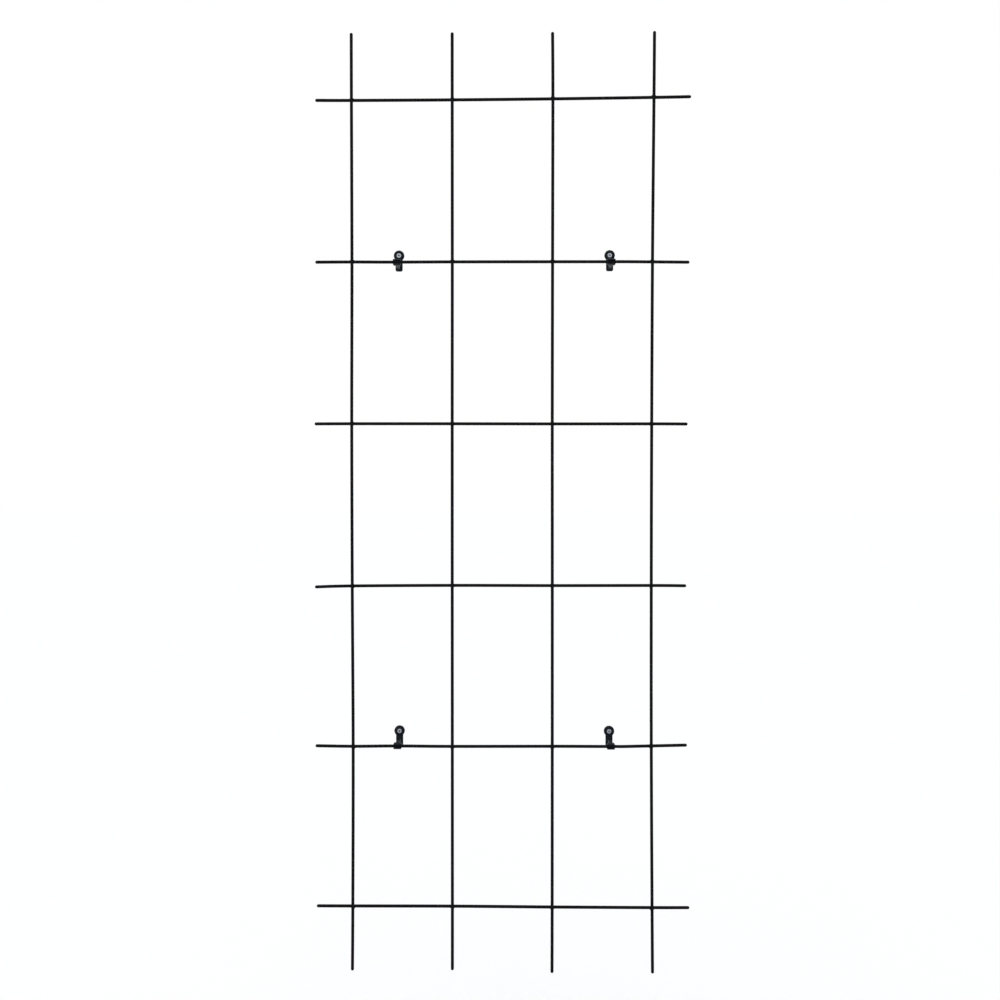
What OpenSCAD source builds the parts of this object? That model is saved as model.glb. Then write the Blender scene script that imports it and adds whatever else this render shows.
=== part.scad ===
// Espalier frame: a welded grid of coated steel rods, held off a wall by four moulded brackets that clip
// on to its cross rods.
// +X runs right, +Y runs into the wall and +Z runs up.
// The origin lies on the wall face, in the middle of the four wall screws.

/* [Grid] */
// Diameter of every rod, with its coating
rod_d = 5; // [4:0.5:7]
// Length of an upright rod
upright_len = 1500; // [800:10:2400]
// Distance between neighbouring uprights
upright_pitch = 160; // [120:5:220]
// Length of a cross rod
cross_len = 600; // [500:2:900]
// Distance between neighbouring cross rods
cross_pitch = 258; // [120:2:320]

/* [Welds] */
// Weld metal left between two rods where they cross
weld_gap = 0.4; // [0.3:0.1:1]
// Diameter of the bead that spreads round a crossing
weld_d = 8.4; // [7.6:0.2:11]
// Depth of the bead from front to back
weld_depth = 3.2; // [2:0.2:5]

/* [Bracket plate] */
// Distance from the wall face to the axis of the cross rods
standoff = 40; // [30:1:70]
// How far a bracket sits outward from the middle of its bay
bracket_outset = 11; // [0:1:40]
// How far both pairs of brackets sit to the right of the grid's middle
bracket_shift = 3; // [0:1:12]
// Height of the screw above the axis of the gripped rod
screw_rise = 17; // [15:0.5:26]
// Diameter of the round head that takes the screw
head_d = 17; // [14:0.5:20]
// Height of the head's rim above the wall face
head_rim = 3.6; // [3:0.1:5]
// Height of the head's domed crown above the wall face
head_crown = 5.2; // [5:0.1:7]
// Width of the leg below the head
leg_w = 11.5; // [8:0.5:13]
// Thickness of the leg
leg_t = 4; // [3:0.5:5]
// How far the leg reaches below the axis of the gripped rod
leg_drop = 8.4; // [6:0.2:14]
// Radius of the leg's lower corners
leg_corner = 3; // [0.5:0.5:3.5]
// Chamfer along the leg's front edges
leg_chamfer = 0.8; // [0.2:0.1:1.5]

/* [Bracket arm and clip] */
// Thickness of the arm's rib
arm_t = 4.5; // [3:0.5:7]
// Height of the arm's upper edge, above the rod axis, where it meets the leg
arm_top = 6; // [4:0.5:7]
// Height of the arm's lower edge, below the rod axis, where it meets the leg
arm_bottom = 5.6; // [4:0.2:5.8]
// Radius of the fillets at both ends of the arm
arm_fillet = 2; // [0.8:0.2:3]
// Length of the clip along the rod
clip_w = 12.5; // [8:0.5:18]
// Wall of the clip round the rod
clip_wall = 2.5; // [1.5:0.1:3.5]
// Radius of the clip's corners, seen from the front and from above
clip_corner = 1.8; // [0.4:0.1:2.2]
// Radial play between the clip and the rod
clip_play = 0.05; // [0.02:0.01:0.1]
// How much narrower than the rod the clip's mouth is
clip_snap = 0.9; // [0.4:0.1:1.4]
// Angle at which each lip flares away from the mouth
lip_angle = 24; // [10:1:35]
// Radius that rounds the tips of the lips
lip_round = 0.5; // [0.2:0.1:0.7]

/* [Screws] */
// Outer diameter of the screw's thread
screw_d = 3.5; // [3:0.5:5]
// Depth of the thread, by which the plain neck under the head is slimmer all round
thread_depth = 0.5; // [0.3:0.05:0.7]
// Length of the screw from its head to its tip
screw_len = 40; // [25:5:70]
// Diameter of the countersunk head
screw_head_d = 7.2; // [6.4:0.2:9.6]
// Thickness of the head's straight rim
screw_rim = 0.4; // [0.2:0.1:0.8]
// Length of the screw's point
screw_point = 7; // [4:0.5:10]
// How deep the screw's head lies below the crown
screw_sink = 0.5; // [0.2:0.1:1]
// Play round the screw's thread and under its head
screw_play = 0.15; // [0.1:0.05:0.3]
// Span of the cross recess at the top of the head
recess_span = 4.2; // [3.2:0.2:5.6]
// Span of the cross recess at its bottom
recess_root = 1.6; // [1.2:0.2:2.6]
// Width of each slot of the cross recess
recess_slot = 1.1; // [0.8:0.1:1.6]
// Depth of the cross recess
recess_depth = 2.2; // [1.4:0.1:2.6]

/* [Hidden] */
$fn = 48;

// Counts of the welded grid, which keeps its pitch and gains or loses rods with its length and width
rod_end = weld_d / 2 + rod_d;
uprights = floor((cross_len - 2 * rod_end) / upright_pitch) + 1;
cross_rods = floor((upright_len - 2 * rod_end) / cross_pitch) + 1;

// Uprights are numbered from the left and cross rods from the top, and the brackets grip the last but one
gripped_rows = [2, cross_rods - 1];
row_names = ["top", "bottom"];
side_names = ["left", "right"];

rod_r = rod_d / 2;
coating = [0.06, 0.06, 0.065];
nylon = [0.09, 0.095, 0.1];
zinc = [0.78, 0.8, 0.83];

// Planes of the two layers of rods and of the welds between them
cross_y = -standoff;
weld_y = cross_y - (rod_d + weld_gap) / 2;
upright_y = cross_y - rod_d - weld_gap;

// Middle of the grid, seen from the middle of the wall screws
grid_x = -bracket_shift;
grid_z = -screw_rise;
function upright_x(i) = grid_x + (i - (uprights + 1) / 2) * upright_pitch;
function cross_z(j) = grid_z + ((cross_rods + 1) / 2 - j) * cross_pitch;
function bracket_x(side) = (side * 2 - 1) * ((uprights / 2 - 1) * upright_pitch + bracket_outset);

// Gap by which a weld bead clears the rods that it joins
weld_seat = 0.02;

clip_bore_r = rod_r + clip_play;
clip_r = clip_bore_r + clip_wall;
mouth = rod_d - clip_snap;
leg_face = standoff - leg_t;
head_r = head_d / 2;
dome_r = (pow(head_r, 2) + pow(head_crown - head_rim, 2)) / (2 * (head_crown - head_rim));

// The screw's plain neck ends at the wall face, where the thread begins
screw_r = screw_d / 2;
neck_r = screw_r - thread_depth;
neck_len = head_crown - screw_sink;
screw_head_r = screw_head_d / 2;
screw_cone = screw_head_r - neck_r;
screw_y = -neck_len;
tip_r = 0.25;

// Overshoot of a cutter past the face that it opens
past = 1;

// A round rod along Z with domed ends, centred on the origin
module rod(length) {
    straight = length - rod_d;
    rotate_extrude()
        intersection() {
            union() {
                translate([0, -straight / 2]) square([rod_r, straight]);
                translate([0, -straight / 2]) circle(rod_r);
                translate([0, straight / 2]) circle(rod_r);
            }
            translate([0, -length / 2 - past]) square([rod_d, length + 2 * past]);
        }
}

module upright_rod(i) {
    color(coating)
        translate([upright_x(i), upright_y, grid_z]) rod(upright_len);
}

module cross_rod(j) {
    color(coating)
        translate([grid_x, cross_y, cross_z(j)]) rotate([0, 90, 0]) rod(cross_len);
}

// Metal squeezed out round one crossing, hollowed by both rods
module weld_bead() {
    seat_r = rod_r + weld_seat;
    rod_offset = (rod_d + weld_gap) / 2;
    difference() {
        rotate([90, 0, 0]) cylinder(d = weld_d, h = weld_depth, center = true);
        translate([0, -rod_offset, 0]) cylinder(r = seat_r, h = 2 * weld_d, center = true);
        translate([0, rod_offset, 0]) rotate([0, 90, 0]) cylinder(r = seat_r, h = 2 * weld_d, center = true);
    }
}

module weld_beads(j) {
    color(coating)
        for (i = [1:uprights])
            translate([upright_x(i), weld_y, cross_z(j)]) weld_bead();
}

// Side of the clip, arm and leg: X is the distance from the rod axis towards the wall, Y is height
module arm_side() {
    lip = tan(lip_angle) * 2 * clip_r;
    offset(r = lip_round) offset(delta = -lip_round)
        difference() {
            offset(r = -arm_fillet) offset(delta = arm_fillet) {
                circle(clip_r);
                polygon([[0, clip_r], [leg_face, arm_top], [leg_face, -arm_bottom], [0, -clip_r]]);
                translate([leg_face, -leg_drop]) square([leg_t, leg_drop + screw_rise]);
            }
            polygon([
                [0, mouth / 2],
                [-clip_bore_r, mouth / 2],
                [-clip_bore_r - 2 * clip_r, mouth / 2 + lip],
                [-clip_bore_r - 2 * clip_r, -mouth / 2 - lip],
                [-clip_bore_r, -mouth / 2],
                [0, -mouth / 2]
            ]);
        }
}

// Plan of the leg, with both front edges chamfered
module leg_plan() {
    polygon([
        [-leg_w / 2, standoff],
        [-leg_w / 2, leg_face + leg_chamfer],
        [leg_chamfer - leg_w / 2, leg_face],
        [leg_w / 2 - leg_chamfer, leg_face],
        [leg_w / 2, leg_face + leg_chamfer],
        [leg_w / 2, standoff]
    ]);
}

// Plan of the clip, arm and leg: X runs along the rod, Y runs towards the wall
module arm_plan() {
    offset(r = -arm_fillet) offset(delta = arm_fillet) {
        offset(r = clip_corner) offset(delta = -clip_corner)
            translate([-clip_w / 2, -clip_r]) square([clip_w, 2 * clip_r]);
        translate([-arm_t / 2, 0]) square([arm_t, standoff]);
        leg_plan();
    }
}

// Clip, arm and leg, where the side and the plan agree
module arm() {
    intersection() {
        rotate([90, 0, 90]) linear_extrude(max(clip_w, leg_w) + past, center = true) arm_side();
        translate([0, 0, -leg_drop - past]) linear_extrude(leg_drop + screw_rise + 2 * past) arm_plan();
    }
}

// Waste outside one rounded corner, with the corner's centre at the origin
module corner_waste(radius) {
    difference() {
        square(radius + past);
        circle(radius);
    }
}

// What is cut away to round the four corners of the clip, seen from the front
module clip_corners() {
    for (s = [0, 1], t = [0, 1])
        mirror([s, 0, 0]) mirror([0, 0, t])
            translate([clip_w / 2 - clip_corner, 0, clip_r - clip_corner])
                rotate([90, 0, 0]) linear_extrude(2 * (clip_r + past), center = true) corner_waste(clip_corner);
}

// What is cut away to round the two lower corners of the leg, seen from the front
module leg_corners() {
    for (s = [0, 1])
        mirror([s, 0, 0])
            translate([leg_w / 2 - leg_corner, standoff + past, leg_corner - leg_drop])
                mirror([0, 0, 1]) rotate([90, 0, 0])
                    linear_extrude(leg_t + arm_fillet + past) corner_waste(leg_corner);
}

// Round domed head that takes the screw
module head() {
    translate([0, standoff, screw_rise]) rotate([90, 0, 0])
        rotate_extrude()
            intersection() {
                translate([0, head_crown - dome_r]) circle(dome_r);
                square([head_r, head_crown]);
            }
}

// Countersunk hole through the head, with the screw's own cone and its play
module screw_hole() {
    sink_r = screw_head_r + screw_play;
    bore_r = screw_r + screw_play;
    seat = screw_sink + screw_rim + screw_play;
    translate([0, standoff - head_crown, screw_rise]) rotate([-90, 0, 0])
        rotate_extrude()
            polygon([
                [0, -past],
                [sink_r, -past],
                [sink_r, seat],
                [bore_r, seat + sink_r - bore_r],
                [bore_r, head_crown + past],
                [0, head_crown + past]
            ]);
}

// One moulded bracket, with its clip centred on the origin
module bracket() {
    difference() {
        union() {
            arm();
            head();
        }
        rotate([0, 90, 0]) cylinder(r = clip_bore_r, h = clip_w + 2 * past, center = true);
        clip_corners();
        leg_corners();
        screw_hole();
    }
}

// Row 0 is the upper pair of brackets and side 0 the left one
module placed_bracket(row, side) {
    color(nylon)
        translate([bracket_x(side), cross_y, cross_z(gripped_rows[row])]) bracket();
}

// One countersunk screw, with the top of its head at the origin and its point along +Y
module screw() {
    difference() {
        rotate([-90, 0, 0])
            rotate_extrude()
                polygon([
                    [0, 0],
                    [screw_head_r, 0],
                    [screw_head_r, screw_rim],
                    [neck_r, screw_rim + screw_cone],
                    [neck_r, neck_len - thread_depth],
                    [screw_r, neck_len],
                    [screw_r, screw_len - screw_point],
                    [tip_r, screw_len],
                    [0, screw_len]
                ]);
        for (turn = [0, 90])
            rotate([0, turn, 0])
                linear_extrude(recess_slot, center = true)
                    polygon([
                        [-recess_span / 2, -past],
                        [recess_span / 2, -past],
                        [recess_span / 2, 0],
                        [recess_root / 2, recess_depth],
                        [-recess_root / 2, recess_depth],
                        [-recess_span / 2, 0]
                    ]);
    }
}

module placed_screw(row, side) {
    color(zinc)
        translate([bracket_x(side), screw_y, cross_z(gripped_rows[row]) + screw_rise]) screw();
}

for (i = [1:uprights])
    upright_rod(i);
for (j = [1:cross_rods])
    cross_rod(j);
for (j = [1:cross_rods])
    weld_beads(j);
for (r = [0, 1], s = [0, 1])
    placed_bracket(r, s);
for (r = [0, 1], s = [0, 1])
    placed_screw(r, s);
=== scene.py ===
import math
from functools import partial

import bmesh
import bpy
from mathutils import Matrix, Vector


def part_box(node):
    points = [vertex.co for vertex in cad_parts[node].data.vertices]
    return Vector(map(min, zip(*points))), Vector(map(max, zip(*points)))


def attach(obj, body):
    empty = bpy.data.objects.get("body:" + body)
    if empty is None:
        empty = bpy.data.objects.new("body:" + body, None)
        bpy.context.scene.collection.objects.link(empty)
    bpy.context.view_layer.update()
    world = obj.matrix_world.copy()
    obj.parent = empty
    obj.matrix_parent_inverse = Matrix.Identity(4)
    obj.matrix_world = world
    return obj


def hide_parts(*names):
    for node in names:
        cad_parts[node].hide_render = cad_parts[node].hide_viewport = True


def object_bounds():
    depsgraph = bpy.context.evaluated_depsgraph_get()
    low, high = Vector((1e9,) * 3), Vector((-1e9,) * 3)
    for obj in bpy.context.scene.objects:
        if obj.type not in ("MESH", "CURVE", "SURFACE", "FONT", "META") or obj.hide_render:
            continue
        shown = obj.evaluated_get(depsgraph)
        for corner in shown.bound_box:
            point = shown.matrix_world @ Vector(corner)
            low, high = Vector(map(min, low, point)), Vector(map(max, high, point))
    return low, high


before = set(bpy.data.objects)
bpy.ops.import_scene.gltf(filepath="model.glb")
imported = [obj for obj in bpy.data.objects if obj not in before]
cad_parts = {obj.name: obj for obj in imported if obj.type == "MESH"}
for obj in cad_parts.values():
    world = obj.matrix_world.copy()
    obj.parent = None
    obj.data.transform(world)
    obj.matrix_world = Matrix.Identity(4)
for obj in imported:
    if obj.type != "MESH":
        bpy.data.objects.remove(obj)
cad_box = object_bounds()
scene = bpy.context.scene

# Studio
# The trellis hangs clear of a white paper floor, in front of white paper, and is seen straight on from
# about two metres. An even white surround and one very wide soft lamp light it without hard shadows.
scene.view_settings.view_transform = "Standard"
surround_colour, surround_strength = (0.97, 0.985, 1, 1), 0.68
paper_colour, paper_strength = (1, 1, 1, 1), 1
floor_white = (0.96, 0.96, 0.96, 1)
floor_drop, floor_reach = 0.20, 40
lamp_strength, lamp_spread = 1.5, math.radians(70)
lamp_turn = (math.radians(38), 0, math.radians(-22))
camera_lens, camera_sensor = 43.56, 36
camera_place = (0.0129, -1.973, 0.0185)
camera_turn = (math.radians(90 - 0.826), 0, math.radians(0.576))


def feed(tree, socket, value):
    """Joins a socket to what another node gives, or sets it to a value."""
    if isinstance(value, bpy.types.NodeSocket):
        tree.links.new(value, socket)
    else:
        socket.default_value = value


def math_node(tree, operation, *values):
    """One sum, on numbers or on what other nodes give."""
    made = tree.nodes.new("ShaderNodeMath")
    made.operation = operation
    for socket, value in zip(made.inputs, values):
        feed(tree, socket, value)
    return made.outputs[0]


def seen_directly(tree):
    """1 for what the eye, a reflection or glass looks at, and 0 for the light that falls on things."""
    path = tree.nodes.new("ShaderNodeLightPath")
    either = math_node(tree, "ADD", path.outputs["Is Camera Ray"], path.outputs["Is Glossy Ray"])
    return math_node(tree, "MAXIMUM", either, path.outputs["Is Transmission Ray"])


surround = bpy.data.worlds.new("white_surround")
surround.use_nodes = True
scene.world = surround
sky = surround.node_tree
light = sky.nodes["Background"]
light.inputs["Color"].default_value = surround_colour
light.inputs["Strength"].default_value = surround_strength
paper = sky.nodes.new("ShaderNodeBackground")
paper.inputs["Color"].default_value = paper_colour
paper.inputs["Strength"].default_value = paper_strength
which = sky.nodes.new("ShaderNodeMixShader")
sky.links.new(seen_directly(sky), which.inputs["Fac"])
sky.links.new(light.outputs["Background"], which.inputs[1])
sky.links.new(paper.outputs["Background"], which.inputs[2])
sky.links.new(which.outputs["Shader"], sky.nodes["World Output"].inputs["Surface"])

floor_z = cad_box[0][2] - floor_drop
floor_corners = [
    (-floor_reach, -floor_reach, floor_z), (floor_reach, -floor_reach, floor_z),
    (floor_reach, floor_reach, floor_z), (-floor_reach, floor_reach, floor_z),
]
floor_mesh = bpy.data.meshes.new("paper_floor")
floor_mesh.from_pydata(floor_corners, [], [(0, 1, 2, 3)])
floor = bpy.data.objects.new("paper_floor", floor_mesh)
scene.collection.objects.link(floor)
floor_paper = bpy.data.materials.new("floor_paper")
floor_paper.use_nodes = True
floor_shader = floor_paper.node_tree.nodes["Principled BSDF"]
floor_shader.inputs["Base Color"].default_value = floor_white
floor_shader.inputs["Roughness"].default_value = 1
floor_shader.inputs["Specular IOR Level"].default_value = 0
floor_mesh.materials.append(floor_paper)

lamp = bpy.data.objects.new("wide_lamp", bpy.data.lights.new("wide_lamp", "SUN"))
lamp.data.energy = lamp_strength
lamp.data.angle = lamp_spread
lamp.rotation_euler = lamp_turn
scene.collection.objects.link(lamp)

camera = bpy.data.objects.new("camera", bpy.data.cameras.new("camera"))
camera.data.lens = camera_lens
camera.data.sensor_width = camera_sensor
camera.location = camera_place
camera.rotation_euler = camera_turn
scene.collection.objects.link(camera)
scene.camera = camera

# Upright rods
# Four lengths of drawn steel wire, 5 mm thick with the black coat that was baked on after welding and that
# rounds off their cut ends. Each kept a slight bow from the welding jig, largest on the right-hand rod.
mm = 0.001
upright_names = [f"upright_rod_{i}" for i in (1, 2, 3, 4)]
cross_names = [f"cross_rod_{j}" for j in (1, 2, 3, 4, 5, 6)]
rod_radius = 2.5 * mm
rod_sides = 24
upright_sections = 220
closing_distance = 0.001 * mm

# Bow to the right in mm, at the top end, at the six crossings from the top, and at the bottom end
upright_bow = [
    (0.5, 0.6, 1.0, 0.2, 0.6, 1.6, 0.6, -0.2),
    (0.7, 0.7, 0.7, 0.4, 0.3, 0.3, 0.3, 0.2),
    (-0.2, 0.4, 0.0, -0.3, -0.1, 0.0, 0.0, -0.2),
    (1.1, 0.4, -1.5, -2.3, -2.5, -2.0, -0.3, 0.6),
]
# How much short of full length each rod was cut, in mm, at its top and at its bottom
upright_short = [(1.2, 2.9), (0.9, 4.0), (0.9, 0.0), (0.0, 0.0)]


def middle(name):
    """The middle of a CAD node's box."""
    low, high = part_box(name)
    return (low + high) / 2


def new_tree(name, *inputs):
    """A tree with named inputs, and the identifiers by which a modifier sets them."""
    tree = bpy.data.node_groups.new(name, "GeometryNodeTree")
    tree.interface.new_socket("Geometry", in_out="INPUT", socket_type="NodeSocketGeometry")
    tree.interface.new_socket("Geometry", in_out="OUTPUT", socket_type="NodeSocketGeometry")
    keys = {}
    for label, kind in inputs:
        keys[label] = tree.interface.new_socket(label, in_out="INPUT", socket_type=kind).identifier
    tree.nodes.new("NodeGroupInput")
    tree.nodes.new("NodeGroupOutput")
    return tree, keys


def add_node(tree, kind, settings=None, **inputs):
    """One node, with its settings, and its inputs joined to sockets or set to values."""
    made = tree.nodes.new(kind)
    for name, value in (settings or {}).items():
        setattr(made, name, value)
    for name, value in inputs.items():
        feed(tree, made.inputs[name.replace("_", " ")], value)
    return made


def finish_tree(tree, geometry, material):
    """The coat or metal goes on, and copies become real mesh."""
    coated = add_node(tree, "GeometryNodeSetMaterial", Geometry=geometry, Material=material)
    real = add_node(tree, "GeometryNodeRealizeInstances", Geometry=coated.outputs["Geometry"])
    tree.links.new(real.outputs["Geometry"], tree.nodes["Group Output"].inputs["Geometry"])


def grow(name, points, edges, tree, keys, values):
    """Runs a tree on points and lines, and keeps the result as a plain mesh."""
    seed = bpy.data.meshes.new(name + "_seed")
    seed.from_pydata(points, edges, [])
    carrier = bpy.data.objects.new(name + "_seed", seed)
    scene.collection.objects.link(carrier)
    modifier = carrier.modifiers.new("grow", "NODES")
    modifier.node_group = tree
    for label, value in values.items():
        modifier[keys[label]] = value
    settled = carrier.evaluated_get(bpy.context.evaluated_depsgraph_get())
    mesh = bpy.data.meshes.new_from_object(settled)
    mesh.name = name
    piece = bpy.data.objects.new(name, mesh)
    scene.collection.objects.link(piece)
    bpy.data.objects.remove(carrier)
    return piece


def new_finish(name):
    """A material, its tree, its shader, and the place on the piece that its patterns follow."""
    material = bpy.data.materials.new(name)
    material.use_nodes = True
    tree = material.node_tree
    place = add_node(tree, "ShaderNodeTexCoord").outputs["Object"]
    return material, tree, tree.nodes["Principled BSDF"], place


def cloud(tree, place, size_mm, detail):
    """Soft random patches of about a given size, from 0 to 1."""
    made = add_node(tree, "ShaderNodeTexNoise", Vector=place, Scale=1000 / size_mm, Detail=detail)
    return made.outputs["Fac"]


def spread(tree, value, span, onto):
    """A value's range made into another range."""
    made = add_node(
        tree, "ShaderNodeMapRange", Value=value, From_Min=span[0], From_Max=span[1],
        To_Min=onto[0], To_Max=onto[1],
    )
    return made.outputs["Result"]


def tint(tree, share, first, second):
    """A colour between two, by a share from 0 to 1."""
    made = add_node(tree, "ShaderNodeMix", {"data_type": "RGBA"})
    # The sockets go by number, because this node has several of each name
    for number, value in ((0, share), (6, first), (7, second)):
        feed(tree, made.inputs[number], value)
    return made.outputs[2]


def lay_finish(tree, shader, colour, roughness, relief, strength, depth):
    """Gives a shader its colour, its roughness and its fine relief."""
    bump = add_node(tree, "ShaderNodeBump", Strength=strength, Distance=depth, Height=relief)
    feed(tree, shader.inputs["Base Color"], colour)
    feed(tree, shader.inputs["Roughness"], roughness)
    feed(tree, shader.inputs["Normal"], bump.outputs["Normal"])


# Black coat: satin, faintly orange-peeled where it flowed, with thin patches and a little dust
patch_range = (0.3, 0.7)
coat_deep, coat_thin = (0.0022, 0.0024, 0.003, 1), (0.0042, 0.0045, 0.0053, 1)
coat_roughness = (0.46, 0.6)
dust_grey, dust_range, dust_cover = (0.035, 0.035, 0.035, 1), (0.66, 0.8), (0, 0.12)
black_coat, coat_tree, coat, coat_place = new_finish("black_coat")
coat_patches = cloud(coat_tree, coat_place, size_mm=14, detail=3)
coat_peel = cloud(coat_tree, coat_place, size_mm=1.1, detail=2)
coat_specks = cloud(coat_tree, coat_place, size_mm=0.5, detail=1)
coat_dust = spread(coat_tree, coat_specks, dust_range, dust_cover)
coat_shade = tint(coat_tree, spread(coat_tree, coat_patches, patch_range, (0, 1)), coat_deep, coat_thin)
lay_finish(
    coat_tree, coat, colour=tint(coat_tree, coat_dust, coat_shade, dust_grey),
    roughness=spread(coat_tree, coat_patches, patch_range, coat_roughness),
    relief=coat_peel, strength=0.25, depth=0.06 * mm,
)
coat.inputs["Specular IOR Level"].default_value = 0.05

# A rod is a round wire swept along its path. Its sections stand closest at the ends, where it draws in to
# a dome.
rod_tree, rod_keys = new_tree(
    "round_wire", ("Rod Radius", "NodeSocketFloat"), ("Sections", "NodeSocketInt"),
    ("Sides", "NodeSocketInt"), ("Coat", "NodeSocketMaterial"),
)
given = rod_tree.nodes["Group Input"].outputs
rod_sum = partial(math_node, rod_tree)
laid = add_node(rod_tree, "GeometryNodeMeshToCurve", Mesh=given["Geometry"])
bowed = add_node(
    rod_tree, "GeometryNodeCurveSplineType", {"spline_type": "CATMULL_ROM"}, Curve=laid.outputs["Curve"]
)
cut = add_node(rod_tree, "GeometryNodeResampleCurve", Curve=bowed.outputs["Curve"], Count=given["Sections"])
along = rod_tree.nodes.new("GeometryNodeSplineParameter").outputs["Factor"]
half_wave = rod_sum("COSINE", rod_sum("MULTIPLY", along, math.pi))
eased = rod_sum("MULTIPLY_ADD", half_wave, -0.5, 0.5)
which_rod = rod_tree.nodes.new("GeometryNodeCurveOfPoint").outputs["Curve Index"]
station = add_node(
    rod_tree, "GeometryNodeSampleCurve", {"mode": "FACTOR"}, Curves=bowed.outputs["Curve"],
    Curve_Index=which_rod, Factor=eased,
)
spaced = add_node(
    rod_tree, "GeometryNodeSetPosition", Geometry=cut.outputs["Curve"], Position=station.outputs["Position"]
)
from_start = rod_tree.nodes.new("GeometryNodeSplineParameter").outputs["Length"]
rod_length = rod_tree.nodes.new("GeometryNodeSplineLength").outputs["Length"]
from_end = rod_sum("MINIMUM", from_start, rod_sum("SUBTRACT", rod_length, from_start))
inset = rod_sum("MINIMUM", rod_sum("DIVIDE", from_end, given["Rod Radius"]), 1)
drawn_in = rod_sum("POWER", rod_sum("SUBTRACT", 1, inset), 2)
dome = rod_sum("SQRT", rod_sum("SUBTRACT", 1, drawn_in))
section = add_node(
    rod_tree, "GeometryNodeCurvePrimitiveCircle", Resolution=given["Sides"], Radius=given["Rod Radius"]
)
swept = add_node(
    rod_tree, "GeometryNodeCurveToMesh", Curve=spaced.outputs["Geometry"],
    Profile_Curve=section.outputs["Curve"], Scale=dome,
)
closed = add_node(
    rod_tree, "GeometryNodeMergeByDistance", Geometry=swept.outputs["Mesh"], Distance=closing_distance
)
smooth = add_node(rod_tree, "GeometryNodeSetShadeSmooth", Geometry=closed.outputs["Geometry"])
finish_tree(rod_tree, smooth.outputs["Geometry"], given["Coat"])


def draw_rods(name, paths, sections):
    """Coated rods along their paths, kept as one mesh."""
    points, lines = [], []
    for path in paths:
        first = len(points)
        points += path
        lines += [(k, k + 1) for k in range(first, first + len(path) - 1)]
    sizes = {"Rod Radius": rod_radius, "Sections": sections, "Sides": rod_sides, "Coat": black_coat}
    return grow(name, points, lines, rod_tree, rod_keys, sizes)


rows_z = [middle(name).z for name in cross_names]
upright_paths, crossing_x = [], []
for name, bow, (short_top, short_bottom) in zip(upright_names, upright_bow, upright_short):
    low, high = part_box(name)
    centre = middle(name)
    heights = [high.z - short_top * mm, *rows_z, low.z + short_bottom * mm]
    upright_paths.append([(centre.x + aside * mm, centre.y, z) for aside, z in zip(bow, heights)])
    crossing_x.append([centre.x + aside * mm for aside in bow[1:-1]])
uprights = draw_rods("uprights", upright_paths, upright_sections)
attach(uprights, "grid")
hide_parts(*upright_names)

# Cross rods
# Six shorter lengths of the same coated wire, laid behind the uprights and pressed into them while hot.
# A few ends were knocked up or down a little, but the two rods in the clips run true there.
cross_sections = 150
gripped = {"cross_rod_2", "cross_rod_5"}
clip_x = [middle(f"bracket_top_{side}").x for side in ("left", "right")]
straight_run = [-20 * mm, -10 * mm, 0, 10 * mm, 20 * mm]

# Lift in mm, at the left end, at the four crossings from the left, and at the right end
cross_lift = [
    (-0.9, -1.2, -0.8, 0.3, 2.1, 3.1),
    (0.1, 0.3, 0.2, 0.1, -0.4, -1.0),
    (0.3, 0.5, 0.4, 0.1, 0.1, -0.2),
    (-2.7, -1.0, 0.0, -0.2, 0.1, -0.3),
    (0.2, -0.6, -0.4, 0.1, 1.1, 2.5),
    (0.0, 0.0, 0.2, -0.6, -1.0, -0.8),
]
# How much short of full reach each rod stops, in mm, at its left and at its right
cross_short = [(2.1, 0.0), (1.6, 2.0), (0.0, 4.4), (0.0, 6.0), (0.3, 4.4), (1.8, 0.0)]

columns_x = [middle(name).x for name in upright_names]
cross_paths, crossing_z = [], []
for name, lift, (short_left, short_right) in zip(cross_names, cross_lift, cross_short):
    low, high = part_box(name)
    centre = middle(name)
    path = list(zip([low.x + short_left * mm, *columns_x, high.x - short_right * mm], lift))
    if name in gripped:
        path = sorted(path + [(x + aside, 0.0) for x in clip_x for aside in straight_run])
    cross_paths.append([(x, centre.y, centre.z + up * mm) for x, up in path])
    crossing_z.append([centre.z + up * mm for up in lift[1:-1]])
cross_rods = draw_rods("cross_rods", cross_paths, cross_sections)
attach(cross_rods, "grid")
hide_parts(*cross_names)

# Welds
# Where two wires were pressed together the hot metal was squeezed out into the four corners, and the coat
# then drew round it, so each crossing has a small soft cushion with a blunt diamond outline.
weld_names = [f"weld_beads_row_{j}" for j in (1, 2, 3, 4, 5, 6)]
weld_sizes = {"Reach": 4.55 * mm, "Thickness": 1.7 * mm, "Bluntness": 1.4, "Seed": 7}
weld_sides, weld_rings = 32, 16
# Swell of single cushions, as a share of their size, and their lean in radians, drawn apart from each other
least_swell, most_swell = (0.93, 0.92, 0.93), (1.07, 1.06, 1.07)
least_lean, most_lean = (-0.05, -0.12, -0.05), (0.05, 0.12, 0.05)
lean_draw = 100
# Least values at the poles of the ball that a cushion starts from, where its outline has no direction
pole_radius, pole_outline = 0.0001, 0.1


def coordinates(tree):
    """X, Y and Z of each point that the tree works on."""
    place = tree.nodes.new("GeometryNodeInputPosition").outputs[0]
    return add_node(tree, "ShaderNodeSeparateXYZ", Vector=place).outputs


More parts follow.
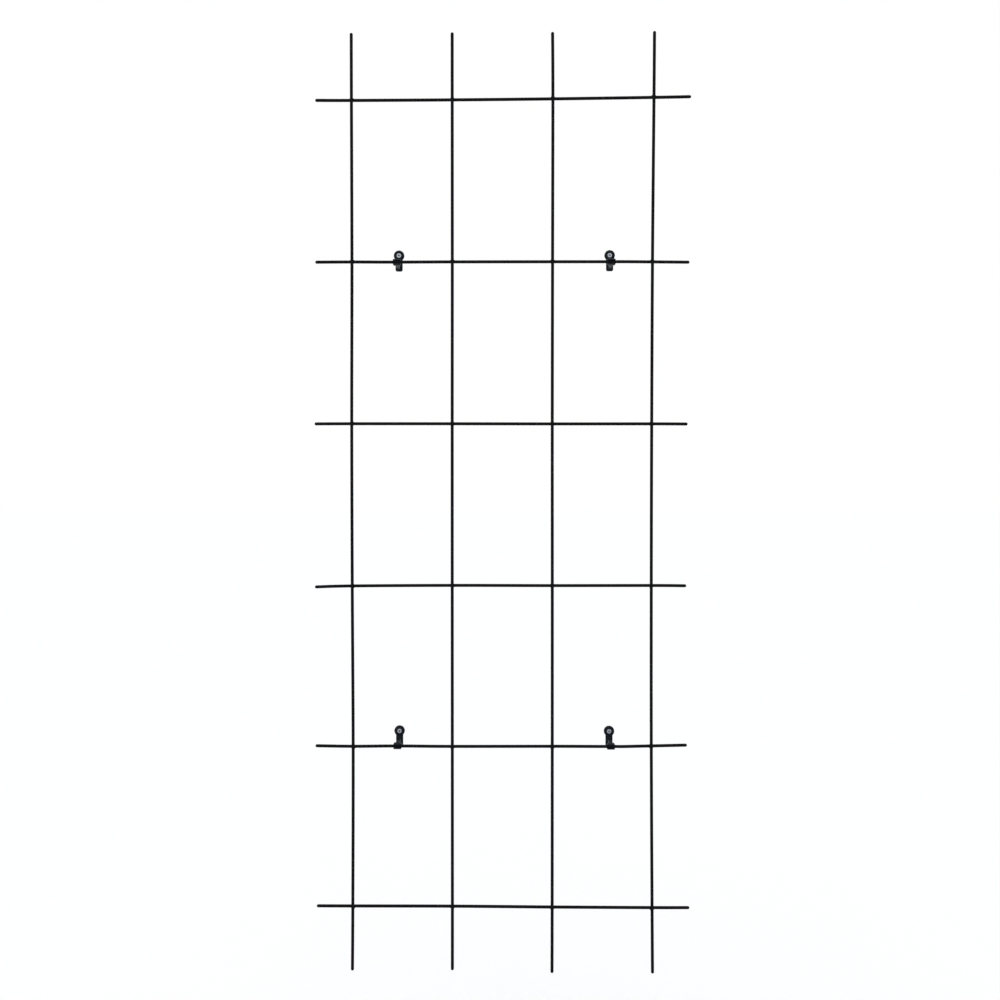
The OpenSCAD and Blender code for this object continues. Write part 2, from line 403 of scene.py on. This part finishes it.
weld_tree, weld_keys = new_tree(
    "squeezed_weld", ("Reach", "NodeSocketFloat"), ("Thickness", "NodeSocketFloat"),
    ("Bluntness", "NodeSocketFloat"), ("Seed", "NodeSocketInt"), ("Coat", "NodeSocketMaterial"),
)
given = weld_tree.nodes["Group Input"].outputs
weld_sum = partial(math_node, weld_tree)
ball = add_node(weld_tree, "GeometryNodeMeshUVSphere", Segments=weld_sides, Rings=weld_rings, Radius=1.0)
ball_x, ball_y, ball_z = coordinates(weld_tree)
ball_radius = weld_sum("SQRT", weld_sum("ADD", weld_sum("POWER", ball_x, 2), weld_sum("POWER", ball_y, 2)))
ball_radius = weld_sum("MAXIMUM", ball_radius, pole_radius)
slopes = [
    weld_sum("POWER", weld_sum("ABSOLUTE", weld_sum("DIVIDE", side, ball_radius)), given["Bluntness"])
    for side in (ball_x, ball_y)
]
outline = weld_sum("MAXIMUM", weld_sum("ADD", *slopes), pole_outline)
outline = weld_sum("POWER", outline, weld_sum("DIVIDE", -1, given["Bluntness"]))
reach = weld_sum("MULTIPLY", outline, given["Reach"])
cushion_place = add_node(
    weld_tree, "ShaderNodeCombineXYZ", X=weld_sum("MULTIPLY", ball_x, reach),
    Y=weld_sum("MULTIPLY", ball_z, given["Thickness"]), Z=weld_sum("MULTIPLY", ball_y, reach),
)
cushion = add_node(
    weld_tree, "GeometryNodeSetPosition", Geometry=ball.outputs["Mesh"], Position=cushion_place.outputs[0]
)
swell = add_node(
    weld_tree, "FunctionNodeRandomValue", {"data_type": "FLOAT_VECTOR"}, Min=least_swell, Max=most_swell,
    Seed=given["Seed"],
)
weld_number = weld_tree.nodes.new("GeometryNodeInputIndex").outputs[0]
lean = add_node(
    weld_tree, "FunctionNodeRandomValue", {"data_type": "FLOAT_VECTOR"}, Min=least_lean, Max=most_lean,
    Seed=given["Seed"], ID=weld_sum("ADD", weld_number, lean_draw),
)
beads = add_node(
    weld_tree, "GeometryNodeInstanceOnPoints", Points=given["Geometry"],
    Instance=cushion.outputs["Geometry"], Rotation=lean.outputs["Value"], Scale=swell.outputs["Value"],
)
real_beads = add_node(weld_tree, "GeometryNodeRealizeInstances", Geometry=beads.outputs["Instances"])
faced_out = add_node(weld_tree, "GeometryNodeFlipFaces", Mesh=real_beads.outputs["Geometry"])
soft = add_node(weld_tree, "GeometryNodeSetShadeSmooth", Geometry=faced_out.outputs["Mesh"])
finish_tree(weld_tree, soft.outputs["Geometry"], given["Coat"])

weld_y = middle(weld_names[0]).y
weld_points = [
    (crossing_x[i][j], weld_y, crossing_z[j][i])
    for j in range(len(cross_names)) for i in range(len(upright_names))
]
welds = grow("welds", weld_points, [], weld_tree, weld_keys, {**weld_sizes, "Coat": black_coat})
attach(welds, "grid")
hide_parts(*weld_names)

# Wall brackets
# Four black nylon mouldings, each a round head and leg that lie on the wall, a rib arm, and a clip that
# springs over a cross rod. The mould left rounded edges, a fine grain and a faint parting line.
corners = [f"{row}_{side}" for row in ("top", "bottom") for side in ("left", "right")]

# Rounding of the moulded edges: a skin of small even faces, smoothed a few times and then thinned out
seam_distance = 0.002 * mm
skin_grain = 0.2 * mm
edge_softness, softening_rounds = 0.5, 5
faces_kept = 0.2

# Black nylon: cold in tone, clouded by the flow of the plastic, grained, with a line where the mould parted
nylon_dark, nylon_pale = (0.0026, 0.0048, 0.0078, 1), (0.0052, 0.0086, 0.013, 1)
nylon_roughness = (0.4, 0.54)
parting_width, parting_height = 0.14 * mm, 2.0
black_nylon, nylon_tree, nylon, nylon_place = new_finish("black_nylon")
nylon_sum = partial(math_node, nylon_tree)
nylon_flow = cloud(nylon_tree, nylon_place, size_mm=6, detail=3)
nylon_grain = cloud(nylon_tree, nylon_place, size_mm=0.35, detail=2)
nylon_x = add_node(nylon_tree, "ShaderNodeSeparateXYZ", Vector=nylon_place).outputs["X"]
from_middle = nylon_sum("ABSOLUTE", nylon_sum("SUBTRACT", nylon_sum("ABSOLUTE", nylon_x), abs(clip_x[0])))
parting = spread(nylon_tree, from_middle, (0, parting_width), (1, 0))
lay_finish(
    nylon_tree, nylon,
    colour=tint(nylon_tree, spread(nylon_tree, nylon_flow, patch_range, (0, 1)), nylon_dark, nylon_pale),
    roughness=spread(nylon_tree, nylon_flow, patch_range, nylon_roughness),
    relief=nylon_sum("MULTIPLY_ADD", parting, parting_height, nylon_grain), strength=0.35, depth=0.03 * mm,
)
nylon.inputs["Specular IOR Level"].default_value = 0.09

for corner_name in corners:
    shell = bmesh.new()
    shell.from_mesh(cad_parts[f"bracket_{corner_name}"].data)
    bmesh.ops.remove_doubles(shell, verts=shell.verts, dist=seam_distance)
    mesh = bpy.data.meshes.new("bracket_blank")
    shell.to_mesh(mesh)
    shell.free()
    blank = bpy.data.objects.new("bracket_blank", mesh)
    scene.collection.objects.link(blank)
    skin = blank.modifiers.new("fine_skin", "REMESH")
    skin.mode = "VOXEL"
    skin.voxel_size = skin_grain
    skin.use_smooth_shade = True
    softened = blank.modifiers.new("softened_edges", "SMOOTH")
    softened.factor = edge_softness
    softened.iterations = softening_rounds
    thinned = blank.modifiers.new("fewer_faces", "DECIMATE")
    thinned.ratio = faces_kept
    even = blank.modifiers.new("even_shading", "WEIGHTED_NORMAL")
    even.keep_sharp = False
    settled = blank.evaluated_get(bpy.context.evaluated_depsgraph_get())
    finished = bpy.data.meshes.new_from_object(settled)
    finished.name = f"moulded_bracket_{corner_name}"
    finished.materials.append(black_nylon)
    bpy.data.objects.remove(blank)
    bracket = bpy.data.objects.new(f"moulded_bracket_{corner_name}", finished)
    scene.collection.objects.link(bracket)
    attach(bracket, f"{corner_name}_bracket_with_screw")
    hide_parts(f"bracket_{corner_name}")

# Wall screws
# Four countersunk wood screws of bright zinc-plated steel, rolled with a coarse thread to a point, with a
# plain neck and a cross recess. Each goes through a bracket's head and is driven into the wall behind it.
screw_sizes = {
    "Length": 40 * mm, "Head Radius": 3.6 * mm, "Rim": 0.4 * mm, "Neck Radius": 1.25 * mm, "Neck": 4.7 * mm,
    "Core Radius": 1.1 * mm, "Thread Radius": 1.74 * mm, "Pitch": 1.6 * mm, "Point": 7 * mm,
    "Recess Span": 4.2 * mm, "Recess Root": 1.6 * mm, "Recess Slot": 1.1 * mm, "Recess Depth": 2.2 * mm,
}
screw_rings, screw_sides = 330, 32
# The head's broken edge, the shares of core and thread left at the tip, the flat share of each pitch, and
# the fold past which an edge stays crisp
edge_break = 0.12 * mm
blunt_tip, tip_thread = 0.06, 0.1
flat_share = 0.5
crisp_fold = math.radians(38)

screw_tree, screw_keys = new_tree(
    "countersunk_screw", *[(label, "NodeSocketFloat") for label in screw_sizes],
    ("Head Place", "NodeSocketVector"), ("Zinc", "NodeSocketMaterial"),
)
given = screw_tree.nodes["Group Input"].outputs
screw_sum = partial(math_node, screw_tree)
axis_end = add_node(screw_tree, "ShaderNodeCombineXYZ", Y=given["Length"])
axis = add_node(screw_tree, "GeometryNodeCurvePrimitiveLine", End=axis_end.outputs[0])
turns = add_node(screw_tree, "GeometryNodeResampleCurve", Curve=axis.outputs["Curve"], Count=screw_rings)
ring = add_node(screw_tree, "GeometryNodeCurvePrimitiveCircle", Resolution=screw_sides, Radius=1.0)
tube = add_node(
    screw_tree, "GeometryNodeCurveToMesh", Curve=turns.outputs["Curve"],
    Profile_Curve=ring.outputs["Curve"], Fill_Caps=True,
)
spot_x, depth, spot_z = coordinates(screw_tree)

# Radius by depth: the cone of the head, then the neck, then the core, which draws in to the point
past_rim = screw_sum("MAXIMUM", 0, screw_sum("SUBTRACT", depth, given["Rim"]))
broken_edge = screw_sum("MAXIMUM", 0, screw_sum("SUBTRACT", edge_break, depth))
cone = screw_sum("SUBTRACT", screw_sum("SUBTRACT", given["Head Radius"], past_rim), broken_edge)
to_tip = screw_sum("DIVIDE", screw_sum("SUBTRACT", given["Length"], depth), given["Point"])
taper = screw_sum("MAXIMUM", blunt_tip, screw_sum("MINIMUM", 1, to_tip))
core = screw_sum("MULTIPLY", given["Core Radius"], taper)
in_neck = screw_sum("LESS_THAN", depth, given["Neck"])
neck = screw_sum("MULTIPLY", in_neck, given["Neck Radius"])
shank = screw_sum("ADD", neck, screw_sum("MULTIPLY", screw_sum("SUBTRACT", 1, in_neck), core))
plain = screw_sum("MAXIMUM", cone, shank)

# Height of the thread: a narrow ridge that climbs a pitch each turn and dies out at the neck and the tip
angle = screw_sum("DIVIDE", screw_sum("ARCTAN2", spot_x, spot_z), 2 * math.pi)
climb = screw_sum("SUBTRACT", screw_sum("DIVIDE", depth, given["Pitch"]), angle)
wave = screw_sum("FRACT", screw_sum("ADD", climb, 1))
ridge = screw_sum("SUBTRACT", 1, screw_sum("ABSOLUTE", screw_sum("MULTIPLY_ADD", wave, 2, -1)))
ridge = screw_sum("DIVIDE", screw_sum("SUBTRACT", ridge, flat_share), 1 - flat_share)
ridge = screw_sum("MAXIMUM", 0, ridge)
run_in = screw_sum("DIVIDE", screw_sum("SUBTRACT", depth, given["Neck"]), given["Pitch"])
run_in = screw_sum("MAXIMUM", 0, screw_sum("MINIMUM", 1, run_in))
run_out = screw_sum("MINIMUM", 1, screw_sum("ADD", tip_thread, to_tip))
thread_height = screw_sum("SUBTRACT", given["Thread Radius"], given["Core Radius"])
crest = screw_sum("MULTIPLY", thread_height, screw_sum("MULTIPLY", run_in, run_out))
radius = screw_sum("ADD", plain, screw_sum("MULTIPLY", ridge, crest))
rolled_place = add_node(
    screw_tree, "ShaderNodeCombineXYZ", X=screw_sum("MULTIPLY", spot_x, radius), Y=depth,
    Z=screw_sum("MULTIPLY", spot_z, radius),
)
rolled = add_node(
    screw_tree, "GeometryNodeSetPosition", Geometry=tube.outputs["Mesh"], Position=rolled_place.outputs[0]
)

# Cross recess: two slots punched into the head, each drawn in at its bottom
punch_size = add_node(
    screw_tree, "ShaderNodeCombineXYZ", X=given["Recess Span"],
    Y=screw_sum("MULTIPLY", given["Recess Depth"], 2), Z=given["Recess Slot"],
)
punch = add_node(screw_tree, "GeometryNodeMeshCube", Size=punch_size.outputs[0])
punch_x, punch_y, punch_z = coordinates(screw_tree)
root_share = screw_sum("DIVIDE", given["Recess Root"], given["Recess Span"])
draw_in = screw_sum("MULTIPLY", screw_sum("SUBTRACT", 1, root_share), screw_sum("SIGN", punch_y))
punch_place = add_node(
    screw_tree, "ShaderNodeCombineXYZ", X=screw_sum("MULTIPLY", punch_x, screw_sum("SUBTRACT", 1, draw_in)),
    Y=punch_y, Z=punch_z,
)
tapered = add_node(
    screw_tree, "GeometryNodeSetPosition", Geometry=punch.outputs["Mesh"], Position=punch_place.outputs[0]
)
crossed = add_node(
    screw_tree, "GeometryNodeTransform", Geometry=tapered.outputs["Geometry"], Rotation=(0, math.pi / 2, 0)
)
punched = add_node(screw_tree, "GeometryNodeMeshBoolean", {"operation": "DIFFERENCE", "solver": "EXACT"})
screw_tree.links.new(rolled.outputs["Geometry"], punched.inputs["Mesh 1"])
screw_tree.links.new(tapered.outputs["Geometry"], punched.inputs["Mesh 2"])
screw_tree.links.new(crossed.outputs["Geometry"], punched.inputs["Mesh 2"])
bright = add_node(screw_tree, "GeometryNodeSetShadeSmooth", Geometry=punched.outputs["Mesh"])
fold = screw_tree.nodes.new("GeometryNodeInputMeshEdgeAngle").outputs["Unsigned Angle"]
crisp = add_node(
    screw_tree, "GeometryNodeSetShadeSmooth", {"domain": "EDGE"}, Geometry=bright.outputs["Geometry"],
    Selection=screw_sum("GREATER_THAN", fold, crisp_fold), Shade_Smooth=False,
)
driven = add_node(
    screw_tree, "GeometryNodeTransform", Geometry=crisp.outputs["Geometry"], Translation=given["Head Place"]
)
finish_tree(screw_tree, driven.outputs["Geometry"], given["Zinc"])

# Zinc plate: bright and cold in tint, mottled partly as plating tone and partly as painted reflection,
# turned rings on the head, and painted shade near the axis on the thread floors, neck and cross recess
# The two zinc colours are partly plating tone and partly painted reflection, a darker and a lighter mottle
# for the surroundings and glints seen in the metal
zinc_painted_dark, zinc_painted_light = (0.26, 0.28, 0.31, 1), (0.48, 0.51, 0.55, 1)
zinc_roughness = (0.24, 0.4)
# Painted shade: a dark grey laid over the zinc within these distances of the axis, on the thread floors,
# the neck and the middle of the head with its cross recess
painted_shade_grey, painted_shade_radius, painted_shade_share = (0.08, 0.085, 0.1, 1), (1.0 * mm, 1.6 * mm), (0.6, 0)
ring_pitch, ring_height = 0.16 * mm, 0.3
zinc_plate, zinc_tree, zinc, zinc_place = new_finish("zinc_plate")
zinc_sum = partial(math_node, zinc_tree)
zinc_xyz = add_node(zinc_tree, "ShaderNodeSeparateXYZ", Vector=zinc_place)
screw_at = middle("screw_top_right")
off_axis = [
    zinc_sum("POWER", zinc_sum("SUBTRACT", zinc_sum("ABSOLUTE", zinc_xyz.outputs[side]), abs(at)), 2)
    for side, at in (("X", screw_at.x), ("Z", screw_at.z))
]
from_axis = zinc_sum("SQRT", zinc_sum("ADD", *off_axis))
zinc_patches = cloud(zinc_tree, zinc_place, size_mm=1.6, detail=3)
# Painted reflection mixed with plating tone: the mottle between the two zinc colours
zinc_tone_and_painted_reflection = tint(zinc_tree, spread(zinc_tree, zinc_patches, patch_range, (0, 1)), zinc_painted_dark, zinc_painted_light)
# Painted shade, strongest close to the screw's axis and gone at the thread crests
painted_valley_shade = spread(zinc_tree, from_axis, painted_shade_radius, painted_shade_share)
turned_rings = zinc_sum("SINE", zinc_sum("MULTIPLY", from_axis, 2 * math.pi / ring_pitch))
lay_finish(
    zinc_tree, zinc, colour=tint(zinc_tree, painted_valley_shade, zinc_tone_and_painted_reflection, painted_shade_grey),
    roughness=spread(zinc_tree, zinc_patches, patch_range, zinc_roughness),
    relief=zinc_sum("MULTIPLY_ADD", turned_rings, ring_height, zinc_patches), strength=0.3, depth=0.02 * mm,
)
zinc.inputs["Metallic"].default_value = 1

for corner_name in corners:
    low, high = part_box(f"screw_{corner_name}")
    head_place = ((low.x + high.x) / 2, low.y, (low.z + high.z) / 2)
    screw = grow(
        f"zinc_screw_{corner_name}", [(0, 0, 0)], [], screw_tree, screw_keys,
        {**screw_sizes, "Head Place": head_place, "Zinc": zinc_plate},
    )
    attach(screw, f"{corner_name}_bracket_with_screw")
    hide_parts(f"screw_{corner_name}")
